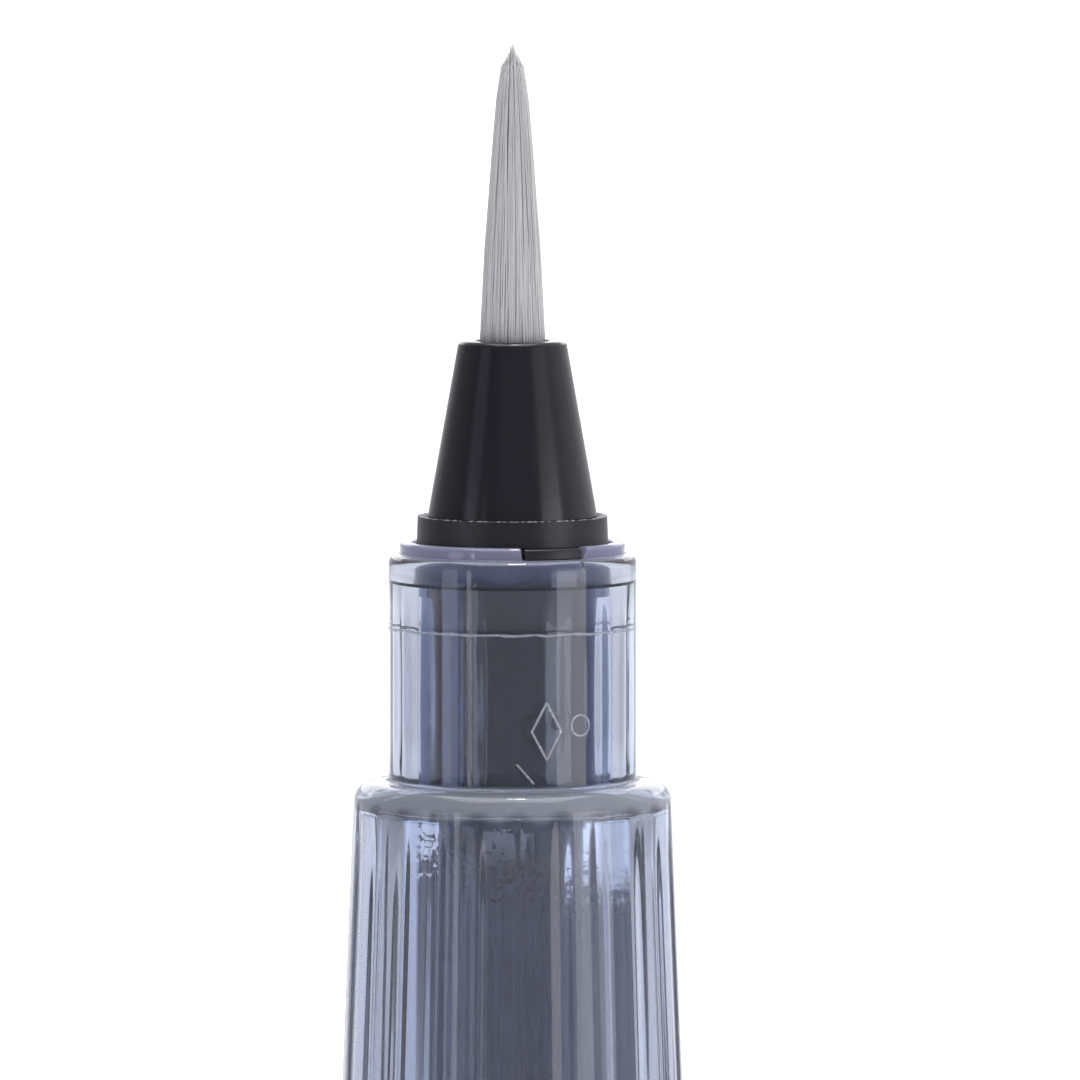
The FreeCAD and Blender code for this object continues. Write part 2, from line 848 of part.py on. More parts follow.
pieces = [make() for make in PIECES]
doc.recompute()
check(pieces)
os.makedirs("parts", exist_ok=True)
for piece in pieces:
    piece.Shape.exportStep(f"parts/{piece.Label}.step")
    print(f"{piece.Label}: {piece.Shape.Volume:.2f} mm3")
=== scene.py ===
import math
import random

import bmesh
import bpy
from mathutils import Matrix, Vector


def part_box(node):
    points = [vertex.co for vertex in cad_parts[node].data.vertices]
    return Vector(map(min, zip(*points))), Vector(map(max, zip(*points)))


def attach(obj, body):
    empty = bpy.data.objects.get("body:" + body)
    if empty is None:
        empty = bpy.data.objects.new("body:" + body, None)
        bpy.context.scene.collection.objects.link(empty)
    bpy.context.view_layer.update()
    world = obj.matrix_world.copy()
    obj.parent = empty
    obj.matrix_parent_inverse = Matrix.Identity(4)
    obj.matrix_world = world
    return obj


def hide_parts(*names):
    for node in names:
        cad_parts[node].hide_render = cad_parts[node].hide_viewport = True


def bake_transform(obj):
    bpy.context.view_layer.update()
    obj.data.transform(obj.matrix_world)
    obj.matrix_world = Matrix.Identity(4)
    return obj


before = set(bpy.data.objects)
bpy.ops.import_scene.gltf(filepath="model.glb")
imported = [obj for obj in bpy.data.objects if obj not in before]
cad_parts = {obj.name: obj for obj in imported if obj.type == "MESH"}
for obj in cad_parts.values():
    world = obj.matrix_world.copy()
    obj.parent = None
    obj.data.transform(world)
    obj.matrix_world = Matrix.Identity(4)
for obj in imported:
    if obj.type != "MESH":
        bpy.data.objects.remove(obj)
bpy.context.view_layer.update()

# Squeeze-barrel brush pen. Lengths are in millimetres up to the moment a mesh is made.
# The pen's axis is Z, its front faces -Y, and it stands on the end of its posted cap.
# Angles round the pen are in degrees from the front, positive towards +X.

MM = 0.001


def heights(node):
    """Lowest and highest Z of a CAD node, in millimetres."""
    low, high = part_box(node)
    return low.z / MM, high.z / MM


def reach(node):
    """How far a CAD node reaches from the axis towards +X, in millimetres."""
    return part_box(node)[1].x / MM


SECTION_BASE, LIP_TOP = heights("section_grip")
LIP_HEIGHT = 0.5
NECK_TOP = LIP_TOP - LIP_HEIGHT
NECK_LENGTH = 9.2
SHOULDER = NECK_TOP - NECK_LENGTH
SEAT, COLLAR_TOP = heights("collar_ring")
NOSE_LOW, MOUTH = heights("nose_cone")
TIP = heights("bristle_tuft")[1]
NECK_RADIUS = 5.02
SHOULDER_RADIUS = 6.4
BARREL_RADIUS = reach("section_grip")
CHAMBER_LOW = SECTION_BASE + 10
CHAMBER_ROOF = SHOULDER - 1.0
FILM_TOP = CHAMBER_ROOF - 0.15
FILM_LINE = SHOULDER - 3.6
GROOVE_COUNT = 24
GROOVE_PHASE = 2.5


# Mesh building


def round_corners(corners, closed):
    """Points of an outline whose corners are (radius, height) or (radius, height, rounding)."""
    points = []
    count = len(corners)
    for index, corner in enumerate(corners):
        here = Vector(corner[:2])
        rounding = corner[2] if len(corner) > 2 else 0
        if not rounding or not (closed or 0 < index < count - 1):
            points.append(here)
            continue
        back = (Vector(corners[index - 1][:2]) - here).normalized()
        ahead = (Vector(corners[(index + 1) % count][:2]) - here).normalized()
        half = back.angle(ahead) / 2
        centre = here + (back + ahead).normalized() * (rounding / math.sin(half))
        first = here + back * (rounding / math.tan(half)) - centre
        last = here + ahead * (rounding / math.tan(half)) - centre
        turn = math.atan2(first.cross(last), first.dot(last))
        steps = max(3, round(abs(turn) / math.radians(12)))
        for step in range(steps + 1):
            points.append(centre + Matrix.Rotation(turn * step / steps, 2) @ first)
    return points


def refine(points, longest, closed):
    """Add points where a step is longer than longest(height)."""
    fine = []
    count = len(points)
    for index, point in enumerate(points):
        fine.append(point)
        if index == count - 1 and not closed:
            break
        following = points[(index + 1) % count]
        limit = longest((point.y + following.y) / 2)
        steps = math.ceil((following - point).length / limit)
        fine += [point.lerp(following, step / steps) for step in range(1, steps)]
    return fine


def place(angle, radius, height):
    """The point at an angle round the pen."""
    turn = math.radians(angle)
    return (radius * math.sin(turn), -radius * math.cos(turn), height)


def mesh_piece(name, points, faces, materials, body, crease=35):
    """An object in metres, smooth but for its sharp edges, that rides on a body."""
    mesh = bpy.data.meshes.new(name)
    mesh.from_pydata([tuple(value * MM for value in point) for point in points], [], faces)
    shape = bmesh.new()
    shape.from_mesh(mesh)
    bmesh.ops.remove_doubles(shape, verts=shape.verts, dist=1e-8)
    bmesh.ops.recalc_face_normals(shape, faces=shape.faces)
    shape.to_mesh(mesh)
    shape.free()
    mesh.shade_smooth()
    mesh.set_sharp_from_angle(angle=math.radians(crease))
    for material in materials:
        mesh.materials.append(material)
    piece = bpy.data.objects.new(name, mesh)
    bpy.context.scene.collection.objects.link(piece)
    if body:
        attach(piece, body)
    return piece


def add_tube(points, faces, rings):
    """Join rings of points, of equal length, into a closed tube."""
    first, sides = len(points), len(rings[0])
    for ring in rings:
        points += ring
    for step in range(len(rings) - 1):
        for side in range(sides):
            a = first + step * sides + side
            b = first + step * sides + (side + 1) % sides
            faces.append((a, b, b + sides, a + sides))
    last = first + (len(rings) - 1) * sides
    faces.append(tuple(last + side for side in range(sides)))
    faces.append(tuple(first + side for side in reversed(range(sides))))


def wobble(seed, waves, size, slow, fast):
    """A function of the angle that wanders by about size, with between slow and fast waves."""
    chance = random.Random(seed)
    parts = [(chance.randint(slow, fast), chance.uniform(0, 360), chance.uniform(0.3, 1))
             for _ in range(waves)]
    total = sum(weight for _, _, weight in parts)

    def value(angle):
        return size * sum(weight * math.sin(math.radians(rate * angle + shift))
                          for rate, shift, weight in parts) / total
    return value


def even_angles(columns, start=0.0, sweep=360.0):
    """Angles of a lathe's columns. A full turn leaves out the last, which is the first."""
    count = columns if sweep >= 360 else columns + 1
    return [start + sweep * column / columns for column in range(count)]


def lathe(name, corners, materials, body, angles=None, closed=True, longest=None, shape=None,
          whole=True, pick=None):
    """Turn an outline about the pen's axis.

    shape(angle, radius, height) may move a point. pick(radius, height) may choose a face's
    material. Where whole is false, the two end sections are capped."""
    angles = angles or even_angles(144)
    points = round_corners(corners, closed)
    if longest:
        points = refine(points, longest, closed)
    rows, columns = len(points), len(angles)
    vertices = []
    for angle in angles:
        for point in points:
            radius, height = shape(angle, *point) if shape else tuple(point)
            vertices.append(place(angle, max(radius, 0), height))
    faces, choices = [], []
    for column in range(columns if whole else columns - 1):
        this, following = column * rows, ((column + 1) % columns) * rows
        for row in range(rows if closed else rows - 1):
            ahead = (row + 1) % rows
            corners_of_face = (this + row, following + row, following + ahead, this + ahead)
            faces.append(corners_of_face)
            if pick:
                middle = (points[row] + points[ahead]) / 2
                choices.append(pick(*middle))
    if not whole:
        faces.append(tuple(range(rows)))
        faces.append(tuple((columns - 1) * rows + row for row in range(rows)))
        choices += [0, 0]
    piece = mesh_piece(name, vertices, faces, materials, body)
    if pick:
        piece.data.polygons.foreach_set("material_index", choices)
    return piece


# Materials


class Surface:
    """A material being built: a Principled shader and the nodes that feed it."""

    def __init__(self, name, **values):
        self.material = bpy.data.materials.new(name)
        self.material.use_nodes = True
        self.tree = self.material.node_tree
        self.shader = self.tree.nodes["Principled BSDF"]
        for socket, value in values.items():
            self.set(socket.replace("_", " "), value)

    def set(self, socket, value):
        """Set one of the shader's own sockets to a value or link it to a node's output."""
        self.join(value, self.shader.inputs[socket])

    def join(self, value, socket):
        if isinstance(value, bpy.types.NodeSocket):
            self.tree.links.new(value, socket)
        elif hasattr(value, "__len__") and len(value) == 3 and socket.type == "RGBA":
            socket.default_value = (*value, 1)
        else:
            socket.default_value = value

    def add(self, kind, inputs=None, **settings):
        """A node of a kind, with its settings and its inputs by name or number."""
        node = self.tree.nodes.new(kind)
        for key, value in settings.items():
            setattr(node, key, value)
        for key, value in (inputs or {}).items():
            self.join(value, node.inputs[key])
        return node

    def position(self, scale=(1, 1, 1)):
        """The piece's own coordinates in millimetres, stretched by scale."""
        own = self.add("ShaderNodeTexCoord").outputs["Object"]
        scaled = {0: own, 1: tuple(value / MM for value in scale)}
        return self.add("ShaderNodeVectorMath", scaled, operation="MULTIPLY").outputs[0]

    def noise(self, scale=(1, 1, 1), detail=3.0, rough=0.5):
        """Noise from 0 to 1 whose waves are about 1 / scale millimetres long."""
        inputs = {"Vector": self.position(scale), "Scale": 1.0, "Detail": detail,
                  "Roughness": rough}
        return self.add("ShaderNodeTexNoise", inputs).outputs["Fac"]

    def ramp(self, value, stops):
        """Colour that runs through (position, colour) stops."""
        node = self.add("ShaderNodeValToRGB", {"Fac": value})
        elements = node.color_ramp.elements
        while len(elements) < len(stops):
            elements.new(0.5)
        for element, (position, colour) in zip(elements, stops):
            element.position = position
            element.color = (*colour, 1)
        return node.outputs["Color"]

    def math(self, operation, *values):
        node = self.add("ShaderNodeMath", dict(enumerate(values)), operation=operation)
        return node.outputs[0]

    def remap(self, value, low, high, to_low=0.0, to_high=1.0, smooth=False):
        inputs = {"Value": value, "From Min": low, "From Max": high, "To Min": to_low,
                  "To Max": to_high}
        kind = "SMOOTHSTEP" if smooth else "LINEAR"
        node = self.add("ShaderNodeMapRange", inputs, interpolation_type=kind)
        return node.outputs["Result"]

    def axis(self, name):
        """One coordinate of the piece, in millimetres."""
        return self.add("ShaderNodeSeparateXYZ", {0: self.position()}).outputs[name]

    def bump(self, height, depth):
        """Raise the surface by height times depth in millimetres."""
        inputs = {"Height": height, "Distance": depth * MM, "Strength": 1.0}
        self.set("Normal", self.add("ShaderNodeBump", inputs).outputs["Normal"])


def add_depth_tint(surface, absorption):
    """Tint light by the depth of plastic it crosses: absorption per metre in red, green, blue."""
    depth = surface.add("ShaderNodeVolumeAbsorption")
    strongest = max(absorption)
    depth.inputs["Density"].default_value = strongest
    depth.inputs["Color"].default_value = (*(1 - value / strongest for value in absorption), 1)
    output = surface.tree.nodes["Material Output"]
    surface.tree.links.new(depth.outputs["Volume"], output.inputs["Volume"])


def clear_plastic(name, absorption, roughness=0.02):
    """Glossy clear moulding with faint flow waves, tinted by the depth of plastic."""
    surface = Surface(name, Base_Color=(1.0, 1.0, 1.0), IOR=1.55, Transmission_Weight=1.0)
    waves = surface.noise((0.35, 0.35, 0.09), detail=2.0)
    surface.set("Roughness", surface.remap(waves, 0.3, 0.7, roughness, roughness * 2.5))
    surface.bump(waves, 0.02)
    add_depth_tint(surface, absorption)
    return surface.material


def section_plastic(name, absorption):
    """Clear plastic, hazier at the lip and in the shoulder, whose haze hangs in scallops."""
    surface = Surface(name, IOR=1.55, Sheen_Weight=0.45, Sheen_Roughness=0.3,
                      Sheen_Tint=(0.86, 0.88, 1.0))
    height = surface.axis("Z")
    waves = surface.noise((0.35, 0.35, 0.09), detail=2.0)
    lip = surface.remap(height, NECK_TOP - 0.2, NECK_TOP + 0.15, 0.0, 0.5, smooth=True)
    turn = surface.math("ARCTAN2", surface.axis("X"), surface.math(
        "MULTIPLY", surface.axis("Y"), -1.0))
    scallop = surface.math("COSINE", surface.math(
        "ADD", surface.math("MULTIPLY", turn, GROOVE_COUNT), -math.radians(
            GROOVE_COUNT * GROOVE_PHASE)))
    ragged = surface.remap(surface.noise((0.9, 0.9, 0.9)), 0.3, 0.7, -0.25, 0.25)
    lifted = surface.math("ADD", height, surface.math("MULTIPLY", surface.math(
        "ADD", scallop, ragged), -0.12))
    above = surface.remap(lifted, SHOULDER - 1.25, SHOULDER - 0.65, 0.0, 0.27, smooth=True)
    below = surface.remap(height, SHOULDER - 0.05, SHOULDER + 0.25, 1.0, 0.0, smooth=True)
    haze = surface.math("ADD", surface.math("MULTIPLY", above, below), lip)
    grip = surface.remap(height, SHOULDER - 0.5, SHOULDER, 0.045, 0.004)
    haze = surface.math("ADD", haze, surface.math("MULTIPLY", grip, surface.remap(
        waves, 0.3, 0.7, 0.7, 1.4)))
    surface.set("Transmission Weight", surface.math("SUBTRACT", 1.0, haze))
    surface.set("Base Color", surface.ramp(surface.remap(height, SHOULDER, LIP_TOP), [
        (0.0, (0.80, 0.86, 1.0)),
        (0.92, (0.86, 0.90, 1.0)),
        (0.96, (0.42, 0.42, 0.62)),
    ]))
    soft = surface.remap(height, SHOULDER - 0.6, SHOULDER, 0.06, 0.03)
    surface.set("Roughness", surface.math("MULTIPLY", soft, surface.remap(
        waves, 0.3, 0.7, 0.7, 1.4)))
    surface.bump(waves, 0.02)
    add_depth_tint(surface, absorption)
    return surface.material


def wet_wall(name):
    """Bore of the lip where ink has crept round the collar: cloudy, darkest at the seat."""
    surface = Surface(name, IOR=1.4, Roughness=0.4)
    height = surface.axis("Z")
    clouds = surface.noise((0.9, 0.9, 1.6), detail=4.0, rough=0.6)
    up = surface.math("ADD", surface.remap(height, SEAT, LIP_TOP),
                      surface.remap(clouds, 0.3, 0.7, -0.14, 0.14))
    surface.set("Base Color", surface.ramp(up, [
        (0.0, (0.015, 0.02, 0.06)),
        (0.08, (0.03, 0.04, 0.10)),
        (0.2, (0.10, 0.12, 0.22)),
        (0.6, (0.20, 0.22, 0.36)),
        (1.0, (0.26, 0.25, 0.40)),
    ]))
    return surface.material


def core_plastic(name):
    """Black feed painted with lengthwise stripes that stand for the lamps' reflections, and with
    cream and navy strips just under the roof.
    """
    surface = Surface(name, IOR=1.5)
    drift = surface.noise((0.4, 0.4, 0.5), detail=3.0)
    across = surface.math("ADD", surface.axis("X"), surface.remap(drift, 0.3, 0.7, -0.06, 0.06))
    black = (0.005, 0.009, 0.030)
    violet = (0.02, 0.018, 0.035)
    # Blue bands across the feed: painted reflections.
    blue = (0.07, 0.10, 0.26)
    # Pale blue at the feed's edges: a painted reflection.
    pale = (0.36, 0.44, 0.68)
    # Thin grey stripe: a painted highlight.
    painted_highlight_grey = (0.22, 0.24, 0.26)
    navy = (0.012, 0.018, 0.055)
    cream = (0.95, 0.90, 0.92)
    painted_reflection_stripes = surface.ramp(surface.remap(across, -3.6, 3.6), [
        (0.005, pale), (0.075, pale), (0.085, violet), (0.14, violet), (0.155, blue),
        (0.225, blue), (0.24, black), (0.285, black), (0.293, painted_highlight_grey), (0.318, painted_highlight_grey),
        # A faintly lighter band at the right: a painted highlight.
        (0.326, black), (0.68, black), (0.70, (0.022, 0.028, 0.06)), (0.86, (0.026, 0.033, 0.08)),
        (0.90, blue), (0.95, blue), (0.97, pale),
    ])
    cream_strips = surface.ramp(surface.remap(across, -1.6, 1.6), [
        (0.22, navy), (0.25, cream), (0.43, cream), (0.47, navy), (0.60, navy), (0.62, cream),
        (0.74, cream), (0.77, navy)])
    height = surface.math("ADD", surface.axis("Z"), surface.remap(drift, 0.3, 0.7, -0.4, 0.4))
    high = surface.remap(height, SHOULDER - 3.8, SHOULDER - 2.2, 0.0, 1.0, smooth=True)
    lower = surface.remap(height, SHOULDER - 0.9, SHOULDER - 0.8, 1.0, 0.0)
    share = surface.math("MULTIPLY", high, lower)
    mixed = surface.add("ShaderNodeMix", {0: share, 6: painted_reflection_stripes, 7: cream_strips}, data_type="RGBA")
    surface.set("Base Color", mixed.outputs[2])
    surface.set("Roughness", surface.remap(drift, 0.3, 0.7, 0.12, 0.25))
    return surface.material


def flash_plastic(name):
    """Rough edge of clear plastic that catches the light, painted pale grey to white as a
    highlight.
    """
    surface = Surface(name, IOR=1.5, Transmission_Weight=0.6)
    grain = surface.noise((6, 6, 6), detail=2.0)
    # Pale grey to white: a painted highlight on clear plastic.
    surface.set("Base Color", surface.ramp(grain, [
        (0.3, (0.60, 0.64, 0.76)), (0.7, (0.95, 0.96, 1.0))]))
    surface.set("Roughness", surface.remap(grain, 0.3, 0.7, 0.1, 0.3))
    return surface.material


def film_material(name):
    """Ink that clings inside the chamber: a ragged rim under the roof and a streaked sheet,
    painted lighter towards the right as a highlight.
    """
    surface = Surface(name, Roughness=0.3, IOR=1.4)
    height = surface.axis("Z")
    right = surface.axis("X")
    streaks = surface.noise((1.6, 1.6, 0.08), detail=4.0, rough=0.6)
    fine = surface.noise((7.0, 7.0, 0.3), detail=3.0, rough=0.6)
    specks = surface.noise((4.0, 4.0, 4.0), detail=3.0, rough=0.75)
    line = surface.math("ADD", surface.remap(streaks, 0.3, 0.7, -0.4, 0.5), FILM_LINE)
    line = surface.math("ADD", line, surface.remap(right, -4, 4, 1.1, -1.3))
    below = surface.math("SUBTRACT", line, height)
    ragged = surface.math("ADD", below, surface.remap(specks, 0.35, 0.65, -1.7, 1.7))
    cover = surface.remap(ragged, 0.0, 0.1, 0.0, 1.0, smooth=True)
    left_edge = surface.remap(right, -3.5, -3.3, 0.04, 1.0)
    streaky = surface.math("ADD", streaks, surface.math("MULTIPLY", fine, 0.3))
    worn = surface.remap(streaky, 0.52, 0.66, 1.0, 0.7)
    kept = surface.math("MAXIMUM", worn, surface.remap(right, -0.5, 1.5, 1.0, 0.0))
    cover = surface.math("MULTIPLY", cover, surface.math("MULTIPLY", kept, left_edge))
    hang = surface.math("ADD", height, surface.remap(specks, 0.3, 0.7, -0.22, 0.22))
    roof = surface.remap(hang, FILM_TOP - 0.5, FILM_TOP - 0.4, 0.0, 0.95)
    inner = surface.remap(surface.math("ABSOLUTE", surface.axis("X")), 2.5, 2.7, 1.0, 0.0)
    cover = surface.math("MAXIMUM", cover, surface.math("MULTIPLY", roof, inner))
    surface.set("Alpha", cover)
    # Lighter towards the right: a painted highlight over the ink's own mottling.
    tone = surface.math("ADD", fine, surface.remap(right, 0.8, 3.2, 0.0, 0.22))
    surface.set("Base Color", surface.ramp(tone, [
        (0.3, (0.018, 0.028, 0.085)), (0.9, (0.15, 0.18, 0.32))]))
    return surface.material


def dark_plastic(name, colour, roughness, grain):
    """Black moulding with fine grain in its gloss."""
    surface = Surface(name, Base_Color=colour, IOR=1.5)
    fine = surface.noise((9, 9, 9), detail=3.0, rough=0.7)
    broad = surface.noise((0.5, 0.5, 0.5))
    surface.set("Roughness", surface.remap(broad, 0.3, 0.7, roughness, roughness * 1.35))
    surface.bump(fine, grain)
    return surface.material


def hair_material(name):
    """Grey nylon filaments, each with its own tone."""
    surface = Surface(name, Roughness=0.42, IOR=1.53)
    tone = surface.add("ShaderNodeAttribute", attribute_name="hair_tone").outputs["Fac"]
    along = surface.noise((1.5, 1.5, 0.3), detail=3.0)
    mixed = surface.math("ADD", surface.math("MULTIPLY", tone, 0.75),
                         surface.math("MULTIPLY", along, 0.25))
    surface.set("Base Color", surface.ramp(mixed, [
        (0.0, (0.54, 0.54, 0.54)),
        (0.5, (0.69, 0.69, 0.69)),
        (1.0, (0.86, 0.86, 0.85)),
    ]))
    return surface.material


def satin_plastic(name, colour, roughness=0.35, through=None, grain=0.004):
    """Opaque or milky moulding with soft mottling."""
    surface = Surface(name, IOR=1.5)
    broad = surface.noise((0.25, 0.25, 0.12))
    dark = tuple(value * 0.9 for value in colour)
    surface.set("Base Color", surface.ramp(broad, [(0.3, dark), (0.7, colour)]))
    surface.set("Roughness", surface.remap(broad, 0.3, 0.7, roughness, roughness * 1.3))
    surface.bump(surface.noise((6, 6, 6)), grain)
    if through is not None:
        surface.set("Transmission Weight", through)
    return surface.material


def label_material(name):
    """Printed film: a slate field between pale bands, with thin rules."""
    surface = Surface(name, IOR=1.5)
    low, high = heights("label_sleeve")
    share = surface.remap(surface.axis("Z"), low, high)
    slate, pale, rule = (0.075, 0.085, 0.11), (0.70, 0.72, 0.74), (0.25, 0.28, 0.33)
    bands = surface.ramp(share, [
        (0.0, slate), (0.10, pale), (0.115, slate), (0.125, pale), (0.62, rule), (0.63, pale),
        (0.66, slate), (0.93, pale)])
    bands.node.color_ramp.interpolation = "CONSTANT"
    surface.set("Base Color", bands)
    fine = surface.noise((0.4, 0.4, 0.2))
    surface.set("Roughness", surface.remap(fine, 0.3, 0.7, 0.3, 0.42))
    return surface.material


CLEAR = section_plastic("smoky_clear", (112, 107, 88))
WET = wet_wall("wet_wall")
FLASH = flash_plastic("flash_plastic")
FILM = film_material("ink_film")
BLACK_GLOSS = dark_plastic("black_gloss", (0.008, 0.006, 0.013), 0.15, 0.0008)
BLACK_SATIN = dark_plastic("black_satin", (0.010, 0.008, 0.015), 0.3, 0.002)
CORE_BLACK = core_plastic("feed_black")
# Pale grey ring on the collar's rim: a painted highlight.
RIM_HIGHLIGHT = dark_plastic("collar_rim_highlight", (0.30, 0.30, 0.32), 0.4, 0.002)
HAIR = hair_material("nylon_hair")
MILKY = satin_plastic("milky_bottle", (0.80, 0.82, 0.84), 0.3, through=0.45)
LINER_WHITE = satin_plastic("liner_white", (0.78, 0.79, 0.8), 0.4)
TAIL_GREY = satin_plastic("tail_grey", (0.10, 0.11, 0.13), 0.28)
SEAL_GREY = satin_plastic("seal_grey", (0.2, 0.21, 0.24), 0.45)
RUBBER = satin_plastic("black_rubber", (0.02, 0.02, 0.022), 0.6)
FIBRE = satin_plastic("fibre", (0.1, 0.11, 0.13), 0.8, grain=0.05)
INK = satin_plastic("ink", (0.02, 0.022, 0.03), 0.08)
LABEL = label_material("label_film")
CAP_CLEAR = clear_plastic("cap_clear", (330, 300, 220))


# Clear section

GROOVE_DEPTH = 0.11
GROOVE_HALF = 0.55
GROOVE_LOW = SECTION_BASE + 4.4
GROOVE_HIGH = SHOULDER - 1.6
NOTCH_START = 4.5
NOTCH_SWEEP = 35.5
NOTCH_PITCH = 180.0
NOTCH_EASE = 1.6
COLLAR_RIM = 3.83
FLASH_BELOW = 2.95
BORE_DRIFT = wobble(21, 6, 0.02, 2, 9)


def section_angles():
    """Columns crowded round each groove."""
    offsets = (-6.2, -4.9, -3.9, -3.1, -2.4, -1.8, -1.2, -0.6,
               0.0, 0.6, 1.2, 1.8, 2.4, 3.1, 3.9, 4.9, 6.2, 7.5)
    pitch = 360 / GROOVE_COUNT
    return [GROOVE_PHASE + pitch * groove + offset
            for groove in range(GROOVE_COUNT) for offset in offsets]


def groove_cut(angle, radius, height):
    """How deep a groove is at a point of the grip."""
    pitch = 360 / GROOVE_COUNT
    aside = (angle - GROOVE_PHASE + pitch / 2) % pitch - pitch / 2
    across = radius * math.radians(aside)
    beyond = max(0.0, height - GROOVE_HIGH, GROOVE_LOW - height)
    distance = math.hypot(across, beyond)
    if distance >= GROOVE_HALF:
        return 0.0
    return GROOVE_DEPTH * math.cos(math.pi / 2 * distance / GROOVE_HALF) ** 2


def bore_rib(angle):
    """Shallow lengthwise ribs on the neck's bore."""
    pitch = 360 / GROOVE_COUNT
    return 0.018 * (1 - math.cos(2 * math.pi * (angle - GROOVE_PHASE) / pitch))


def lip_share(angle):
    """1 where the lip stands and nearly 0 in its notches, with soft corners."""
    along = (angle - NOTCH_START) % NOTCH_PITCH
    inside = min(along, NOTCH_SWEEP - along)
    step = min(max(inside / NOTCH_EASE + 0.5, 0.0), 1.0)
    return 1 - 0.96 * step * step * (3 - 2 * step)


def section_shape(angle, radius, height):
    """Cut the grooves, raise the bore's ribs and lower the lip in its notches."""
    if radius > SHOULDER_RADIUS - 0.3 and height < SHOULDER - 0.5:
        radius -= groove_cut(angle, radius, height)
    if radius < 3.95 and SHOULDER < height < SEAT - 0.1:
        radius -= bore_rib(angle) + BORE_DRIFT(angle)
    if height > NECK_TOP + 0.01:
        height = NECK_TOP + (height - NECK_TOP) * lip_share(angle)
    return radius, height


def make_section():
    """Clear section: the ribbed grip, the shoulder, the neck and the notched lip."""
    outline = [
        (5.3, SECTION_BASE, 0.15),
        (BARREL_RADIUS, SECTION_BASE, 0.3),
        (BARREL_RADIUS, SECTION_BASE + 2.6, 0.5),
        (SHOULDER_RADIUS, SHOULDER, 0.85),
        (NECK_RADIUS, SHOULDER, 0.2),
        (NECK_RADIUS, NECK_TOP, 0.4),
        (4.55, NECK_TOP, 0.05),
        (4.55, LIP_TOP, 0.2),
        (4.03, LIP_TOP, 0.12),
        (4.03, SEAT + 0.1),
        (4.03, SEAT, 0.03),
        (3.9, SEAT, 0.03),
        (3.9, CHAMBER_ROOF, 0.1),
        (4.8, CHAMBER_ROOF, 0.45),
        (5.2, CHAMBER_LOW, 0.05),
        (5.3, CHAMBER_LOW),
    ]

    def longest(height):
        near_groove_end = abs(height - GROOVE_HIGH) < 0.7 or abs(height - GROOVE_LOW) < 0.7
        near_lip = height > NECK_TOP - 0.05
        return 0.16 if near_groove_end or near_lip else 2.0

    def pick(radius, height):
        ring = radius < 4.1 and SEAT - 0.05 < height < SEAT + 0.1
        roof = 3.95 < radius < 4.7 and abs(height - CHAMBER_ROOF) < 0.1
        return 1 if ring or roof else 0

    piece = lathe("section_grip_clear", outline, [CLEAR, WET], "front", section_angles(),
                  longest=longest, shape=section_shape, pick=pick)
    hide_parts("section_grip")


def make_ink_film():
    """Thin sheet of ink on the chamber's wall."""
    film_low = CHAMBER_LOW + 1
    film = lathe("ink_film", [
        (4.50, FILM_TOP, 0.02),
        (4.97, film_low, 0.02),
        (4.91, film_low, 0.02),
        (4.44, FILM_TOP, 0.02),
    ], [FILM], "front", longest=lambda height: 1.5)


# Nose, collar and core


def make_nose():
    """Gloss cone with its spigot, which the hair comes out of."""
    base = COLLAR_TOP - 0.15
    outline = [
        (1.5, MOUTH, 0.12),
        (2.17, MOUTH, 0.28),
        (3.45, base, 0.12),
        (2.9, base, 0.05),
        (2.9, NOSE_LOW, 0.1),
        (2.2, NOSE_LOW, 0.1),
        (2.2, NOSE_LOW + 2, 0.05),
        (1.5, NOSE_LOW + 2, 0.05),
    ]
    piece = lathe("nose_cone_gloss", outline, [BLACK_GLOSS], "front")
    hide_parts("nose_cone")


def make_collar():
    """Black ring between the nose and the lip, with a slightly uneven top rim."""
    burr = wobble(11, 12, 0.02, 20, 90)

    def shape(angle, radius, height):
        if height > COLLAR_TOP - 0.05:
            height += burr(angle) - 0.02
        return radius, height

    outline = [
        (2.95, SEAT, 0.05),
        (3.97, SEAT, 0.1),
        (3.97, NECK_TOP - 0.02),
        (3.97, LIP_TOP - 0.3, 0.1),
        (3.87, LIP_TOP - 0.15, 0.1),
        (COLLAR_RIM, COLLAR_TOP, 0.04),
        (3.73, COLLAR_TOP, 0.03),
        (3.62, COLLAR_TOP - 0.15, 0.03),
        (2.95, COLLAR_TOP - 0.15, 0.03),
    ]

    def pick(radius, height):
        return 1 if radius > 3.9 and height < NECK_TOP - 0.02 else 0

    piece = lathe("collar_ring_satin", outline, [BLACK_SATIN, WET], "front", even_angles(360),
                  shape=shape, pick=pick)
    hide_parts("collar_ring")


def make_collar_rim_highlight():
    """Pale ring round the collar's top rim, thick and thin: a painted highlight of the rim's
    edge.
    """
    fleck = wobble(12, 14, 0.9, 12, 110)
    centre_radius = 3.80
    centre_height = COLLAR_TOP - 0.03

    def shape(angle, radius, height):
        share = min(max(0.55 + fleck(angle) * 2.2, 0.08), 1.0)
        radius = centre_radius + (radius - centre_radius) * share
        return radius, centre_height + (height - centre_height) * share

    outline = [
        (3.78, COLLAR_TOP - 0.05),
        (3.835, COLLAR_TOP - 0.05),
        (COLLAR_RIM, COLLAR_TOP, 0.01),
        (3.785, COLLAR_TOP, 0.01),
    ]
    ring = lathe("collar_rim_highlight", outline, [RIM_HIGHLIGHT], "front", even_angles(480), shape=shape)


def make_collar_key():
    """Key that fills the lip's front notch."""
    outline = [
        (3.85, NECK_TOP + 0.01, 0.03),
        (4.5, NECK_TOP + 0.01, 0.06),
        (4.47, LIP_TOP - 0.06, 0.1),
        (3.85, LIP_TOP - 0.02, 0.03),
    ]
    gap = 2.0
    key = lathe("collar_key", outline, [BLACK_SATIN], "front",
                even_angles(24, NOTCH_START + gap, NOTCH_SWEEP - 2 * gap), whole=False)


